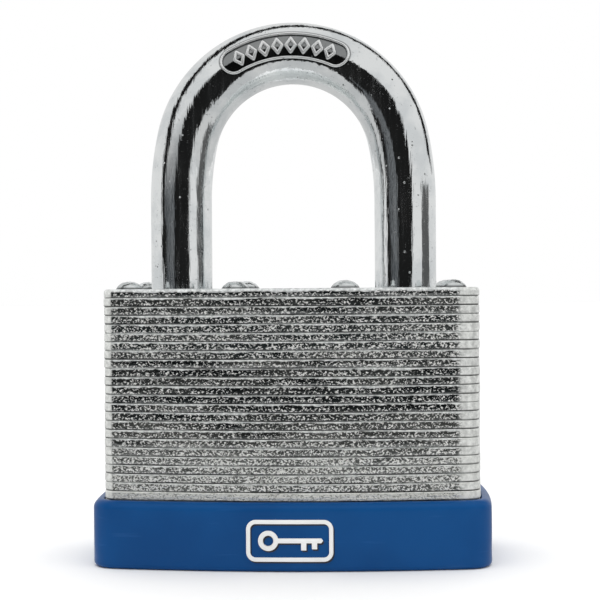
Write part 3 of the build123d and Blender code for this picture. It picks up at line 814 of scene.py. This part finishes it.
# Point and outward direction along the rod, from the toe's end to the heel's end: straight leg,
# shoulder bend, crown circle, and the same mirrored. The bend meets leg and crown at a tangent.
def shackleLine(step, crownStep):
    k = shackle
    legX, r = stack["legX"], stack["legRadius"]
    arch = legX - k["flare"]
    lean = math.radians(k["lean"])
    bend = (legX - arch * math.cos(lean)) / (1 - math.cos(lean))
    top = stackTop + k["rise"] - r - arch
    bendX, bendZ = (arch - bend) * math.cos(lean), top + (arch - bend) * math.sin(lean)
    legTurn = lambda turn, side: (side * (bendX + bend * np.cos(turn)), bendZ + bend * np.sin(turn))

    # heights of a leg's rows, with two rows at each sharp step
    def leg(end):
        marks = [end, end + 0.001 * mm, end + k["chamfer"]]
        for low, high in [k["notchSpan"]] + [k["neckSpan"]] * (end < k["neckSpan"][0]):
            marks += [low, low + sameSpot, high - sameSpot, high]
        z = np.unique(join([marks, np.arange(end + k["chamfer"], bendZ, step)]))
        return z[z <= bendZ - 0.1 * mm]

    toe, heel = leg(k["toeEnd"]), leg(k["heelEnd"])
    turnBend = np.linspace(0, lean, int(bend * lean / step))
    half = math.radians(k["panelHalf"] + k["panelTurn"] + k["panelMargin"])
    upright = math.pi / 2
    outer = np.linspace(lean, upright - half, int(arch * (upright - half - lean) / step))[1:-1]
    crown = np.linspace(upright - half, upright + half, int(2 * half * arch / crownStep))
    turn = join([outer, crown, math.pi - outer[::-1]])
    rightX, rightZ = legTurn(turnBend, 1)
    leftX, leftZ = legTurn(turnBend[::-1], -1)
    legs = np.full(len(toe), legX), np.full(len(heel), -legX)
    x = join([legs[0], rightX, arch * np.cos(turn), leftX, legs[1]])
    z = join([toe, rightZ, top + arch * np.sin(turn), leftZ, heel[::-1]])
    out = [np.zeros(len(toe)), turnBend, turn, math.pi - turnBend[::-1], np.full(len(heel), math.pi)]
    return x, z, join(out), top, arch


# one share sets the painted shade on the crown panel's sunk floor
panel = {"bead": 0.25 * mm, "sunkShade": 0.7, "bold": 1.25, "count": 8, "halfWidth": 0.84 * mm,
         "halfHeight": 1.26 * mm, "spacing": 0.1 * mm, "round": 12, "diamondLift": -0.08 * mm}


# Centre lines of the beads as (along, across) loops: a slot-shaped rim, and diamonds in a row.
def panelLines(half):
    w = shackle["panelHalfWidth"] - panel["bead"]
    rim = evenLoop(roundedLoop(0, 0, 2 * (half + w), 2 * w, w * 0.999, 24), panel["spacing"])
    corners = np.array([(1, 0), (0, 1), (-1, 0), (0, -1)]) * (panel["halfWidth"], panel["halfHeight"])
    middles = half * (1 - (2 * np.arange(panel["count"]) + 1) / panel["count"])
    return [rim], [evenLoop(corners + (middle, 0), panel["spacing"]) for middle in middles]


# Distance from each grid point to the nearest bead line, in the band's own coordinates.
def beadReach(along, across, half):
    rims, diamonds = panelLines(half)
    lines = join(rims + diamonds)
    near = (np.abs(along) < half + 4 * mm) & (np.abs(across) < 4 * mm)
    reach = np.full(along.shape, 1.0)
    here = np.array_split(np.stack([along[near], across[near]], -1), 40)
    squares = [((part[:, None] - lines) ** 2).sum(-1).min(axis=1) for part in here]
    reach[near] = np.sqrt(join(squares))
    return reach


# The rod is a tube round its centre line. At each row the radius is the rod's, less the neck,
# the chamfers, and min(r, plane / cos) where a notch cuts the side that faces inwards.
def makeShackle():
    k, r = shackle, stack["legRadius"]
    rng = np.random.default_rng(k["seed"])
    x, z, out, top, arch = shackleLine(k["legStep"], k["crownStep"])
    rows, m = len(x), k["round"]
    phi = turns(m)[None, :]     # 0 faces away from the crown's centre
    outward = np.stack([np.cos(out), np.zeros(rows), np.sin(out)], -1)
    radius = np.full((rows, m), r)
    straight = z < top - k["bendClear"]
    within = lambda span: straight & (z > span[0]) & (z < span[1])
    notch = within(k["notchSpan"])
    inward = -np.cos(phi)
    flat = np.where(inward > 0.05, k["notchPlane"] / np.maximum(inward, 0.05), r)
    radius = np.where(notch[:, None], np.minimum(radius, flat), radius)
    neck = within(k["neckSpan"]) & (x < 0)
    radius = np.where(neck[:, None], stack["neck"], radius)
    end = np.where(x < 0, k["heelEnd"], k["toeEnd"])
    chamfer = np.where(straight, np.clip(k["chamfer"] - (z - end), 0, None), 0)
    radius = radius - chamfer[:, None]
    # crown panel: sunk floor inside the rim, by how far a point is along and across the band
    along = (out - math.pi / 2 - math.radians(k["panelTurn"]))[:, None] * (arch + k["panelRise"])
    along, across = np.broadcast_arrays(along, np.cos(phi) * r - k["panelRise"])
    front = (-np.sin(phi) > 0) & (z > top)[:, None]
    half = math.radians(k["panelHalf"]) * (arch + k["panelRise"])
    past = np.maximum(np.abs(along) - half, 0)
    edge = k["panelHalfWidth"] - 0.2 * mm - np.hypot(across, past)
    sink = smoothStep(-0.1 * mm, 0.15 * mm, edge) * front
    radius = radius - k["panelSink"] * sink
    reach = beadReach(along, across, half)
    # painted shade: a narrow band beside every bead, and a share of it over the sunk floor
    paintedShade = (1 - smoothStep(0.9 * panel["bead"], 2.1 * panel["bead"], reach)) * front
    paintedShade = np.maximum(paintedShade, panel["sunkShade"] * sink)
    dents = bandNoise(rng, (rows + 40, m), 26, 22)[:rows] * k["dents"]
    radius = radius - np.abs(dents) * (radius > r - 0.02 * mm)
    spoke = np.cos(phi)[..., None] * outward[:, None, :] + np.sin(phi)[..., None] * np.array([0.0, 1.0, 0.0])
    grid = np.stack([x, np.zeros(rows), z], -1)[:, None, :] + radius[..., None] * spoke
    points = join([grid.reshape(-1, 3), [[x[0], 0, z[0]], [x[-1], 0, z[-1]]]])
    last = rows * m
    faces = [ringQuads(rows, m)[:, ::-1], poleFan(0, m, last), poleFan(last - m, m, last + 1, True)]
    addPiece("shackle_rod", points, faces, chromeMaterial, "shackle",
             {"paintedShade": np.append(paintedShade.ravel(), (0, 0))}, ("shackle",), 50)
    return top, arch


# A bead: a thin tube along each closed line on the front of the crown. (along, across) in
# the band go to the torus by turn = along / arch radius and tilt = arcsin(across / rod radius).
def beadOnCrown(name, lines, bead, lift, top, arch):
    r, m, k = stack["legRadius"], panel["round"], shackle
    a = turns(m)[None, :, None]
    points, faces, count = [], [], 0
    for line in lines:
        turn = line[:, 0] / (arch + k["panelRise"]) + math.radians(k["panelTurn"])
        tilt = np.arcsin(np.clip((line[:, 1] + k["panelRise"]) / r, -1, 1))
        outward = np.stack([-np.sin(turn), np.zeros(len(line)), np.cos(turn)], -1)
        normal = outward * np.sin(tilt)[:, None] - np.array([0, 1.0, 0]) * np.cos(tilt)[:, None]
        centre = outward * arch + np.array([0, 0, top]) + normal * (r + lift)
        tangent = np.roll(centre, -1, axis=0) - np.roll(centre, 1, axis=0)
        tangent /= np.linalg.norm(tangent, axis=1)[:, None]
        cross = np.cross(tangent, normal)
        ring = centre[:, None] + bead * (np.cos(a) * normal[:, None] + np.sin(a) * cross[:, None])
        points.append(ring.reshape(-1, 3))
        faces.append(ringQuads(len(line), m, count, closedRows=True)[:, ::-1])
        count += len(line) * m
    paintedShade = {"paintedShade": np.zeros(count)}
    addPiece(name, join(points), faces, panelMaterial, "shackle", paintedShade)


# The rim's and the diamonds' beads, on the band between the panel's two ends.
def makePanel(top, arch):
    rims, diamonds = panelLines(math.radians(shackle["panelHalf"]) * (arch + shackle["panelRise"]))
    bead = panel["bead"]
    beadOnCrown("crown_rim", rims, bead, 0.0, top, arch)
    beadOnCrown("crown_diamonds", diamonds, bead * panel["bold"], panel["diamondLift"], top, arch)


makePanel(*makeShackle())
print("stage: shackle")


# bearings are in degrees from the camera's side, positive to the right; sizes in metres
studio = {
    "paper": (0.93, 0.93, 0.93), "floorHalf": 4.0, "floorZ": -0.00002, "world": 0.78, "sun": 1.5,
    "sunSpread": 70.0, "radius": 0.2, "black": 0.012, "grey": 0.11, "pale": 0.62,
    # from bearing, to bearing, low, high
    "front": (-25, 31, 0.0, 0.165), "side": (65, 98, 0.0, 0.085), "streaks": (-60, -25, 0.0, 0.135),
    "backdrop": (-180, 180, -1.0, 6.0), "backdropRadius": 3.9,
    "ringFrom": -65.0, "ringTop": 115.5, "ringHalf": 8.0, "ringCentre": 0.085, "ringSpan": (-24, 175),
    # inner radius, outer radius, from bearing, to bearing, height
    "band": (0.135, 0.2, -38, 34, 0.0004), "ground": (0.045, 3.5, -180, 180, 0.0002),
    "streakDark": (0.02, 0.022, 0.025), "streakLight": (0.2, 0.21, 0.22), "streakTop": (0.7, 0.7, 0.7),
}


# A strip between two lines of points, as a stage surface that only shows in reflections.
def reflectStrip(name, one, other, material):
    n = len(one)
    i = np.arange(n - 1)
    quads = np.stack([i, i + 1, i + n + 1, i + n], -1)
    strip = addPiece(name, join([one, other]), [quads], material)
    for ray in ("camera", "diffuse", "shadow", "transmission", "volume_scatter"):
        setattr(strip, "visible_" + ray, False)
    return strip


# Points on a level arc at some radius: (sin a, -cos a), with the camera's side at 0.
def bearingArc(fromDegrees, toDegrees, count, radius, z):
    a = np.radians(np.linspace(fromDegrees, toDegrees, count))
    return atHeight(radius * np.stack([np.sin(a), -np.cos(a)], -1), z)

# A plain emitting colour.
def glow(name, colour, strength=1.0):
    material = bpy.data.materials.new(name)
    material.use_nodes = True
    tree = material.node_tree
    tree.nodes.clear()
    emit = tree.nodes.new("ShaderNodeEmission")
    emit.inputs["Color"].default_value = (*colour, 1.0)
    emit.inputs["Strength"].default_value = strength
    tree.links.new(emit.outputs[0], tree.nodes.new("ShaderNodeOutputMaterial").inputs[0])
    return material


# An upright curved card round the lock, from one bearing to another.
def curvedCard(name, fromDegrees, toDegrees, low, high, radius, material):
    edges = [bearingArc(fromDegrees, toDegrees, 40, radius, z) for z in (low, high)]
    return reflectStrip(name, *edges, material)


# A flat ring sector just above the floor, between two radii and two bearings.
def flatSector(name, inner, outer, fromDegrees, toDegrees, z, material):
    edges = [bearingArc(fromDegrees, toDegrees, 60, radius, z) for radius in (outer, inner)]
    reflectStrip(name, *edges, material)


# A band of a great circle that rises at one bearing and passes over the top at a given
# elevation: points are centre + R (cos t A + sin t B) +- w N, with A, B, N at right angles.
def overheadRing(name, material):
    s = studio
    start, over = math.radians(s["ringFrom"]), math.radians(s["ringTop"])
    a = np.array([math.sin(start), -math.cos(start), 0.0])
    b = np.array([0.0, -math.cos(over), math.sin(over)])
    b -= a * (a @ b)
    b /= np.linalg.norm(b)
    n = np.cross(a, b) * s["radius"] * math.radians(s["ringHalf"])
    t = np.radians(np.linspace(*s["ringSpan"], 90))[:, None]
    line = s["radius"] * (np.cos(t) * a + np.sin(t) * b) + (0, 0, s["ringCentre"])
    reflectStrip(name, line - n, line + n, material)


# Upright grey streaks that fade to white above: noise that ignores height, times a ramp on z.
def streakCard(name):
    p = Paint(name)
    stripes = p.noise(95.0, 3.0, 0.65, p.stretched(1.0, 1.0, 0.02)).ramp(0.4, 0.6)
    z = p.node("SeparateXYZ", {}, {"Vector": p.place}, 2)
    low = p.mix(stripes, studio["streakDark"], studio["streakLight"])
    colour = p.mix(z.ramp(0.07, 0.13), low, studio["streakTop"])
    return p.finish(Base_Color=(0.0, 0.0, 0.0), Roughness=1.0, Specular_IOR_Level=0.0, Emission_Color=colour,
                    Emission_Strength=1.0)


# A pale floor and a white surround and sun light the lock, and dark cards stand where its
# bright metal should reflect something dark.
def makeStudio():
    s = studio
    world = bpy.data.worlds.new("surround")
    bpy.context.scene.world = world
    world.use_nodes = True
    sky = world.node_tree.nodes["Background"].inputs
    sky["Color"].default_value = (1.0, 1.0, 1.0, 1.0)
    sky["Strength"].default_value = s["world"]
    p = Paint("floor_paper")
    paper = p.mix(p.noise(40.0, 3.0, 0.5), s["paper"], tuple(c * 1.03 for c in s["paper"]))
    floorMaterial = p.finish(Base_Color=paper, Roughness=0.8, Specular_IOR_Level=0.1)
    corners = np.array([(-1, -1), (1, -1), (1, 1), (-1, 1)]) * s["floorHalf"]
    addPiece("floor", atHeight(corners, s["floorZ"]), [[[0, 1, 2, 3]]], floorMaterial)
    white = glow("backdrop_white", (1.0, 1.0, 1.0))
    backdrop = curvedCard("backdrop", *s["backdrop"], s["backdropRadius"], white)
    backdrop.visible_camera, backdrop.visible_glossy = True, False
    black = glow("card_black", (s["black"],) * 3)
    curvedCard("card_front", *s["front"], s["radius"], black)
    curvedCard("card_side", *s["side"], s["radius"], glow("card_grey", (s["grey"],) * 3))
    curvedCard("card_streaks", *s["streaks"], s["radius"], streakCard("card_streaks"))
    overheadRing("card_ring", black)
    flatSector("card_floor", *s["band"], black)
    flatSector("card_ground", *s["ground"], glow("card_pale", (s["pale"],) * 3))
    lamp = bpy.data.lights.new("overhead", "SUN")
    lamp.energy, lamp.angle = s["sun"], math.radians(s["sunSpread"])
    overhead = bpy.data.objects.new("overhead", lamp)
    bpy.context.scene.collection.objects.link(overhead)
    overhead.visible_glossy = False


view = {"place": (13.9 * mm, -266.0 * mm, 47.5 * mm), "yaw": 2.74, "pitch": -0.46, "roll": 0.4, "lens": 89.4}


# The camera looks level along +Y, then turns by pitch, roll and yaw.
def makeCamera():
    data = bpy.data.cameras.new("camera")
    data.lens = view["lens"]
    data.clip_start, data.clip_end = 0.01, 50
    camera = bpy.data.objects.new("camera", data)
    bpy.context.scene.collection.objects.link(camera)
    camera.location = view["place"]
    camera.rotation_mode = "XYZ"
    camera.rotation_euler = [math.radians(v) for v in (90 + view["pitch"], view["roll"], view["yaw"])]
    bpy.context.scene.camera = camera


makeStudio()
makeCamera()
bpy.context.scene.view_settings.view_transform = "Standard"
print("stage: studio")
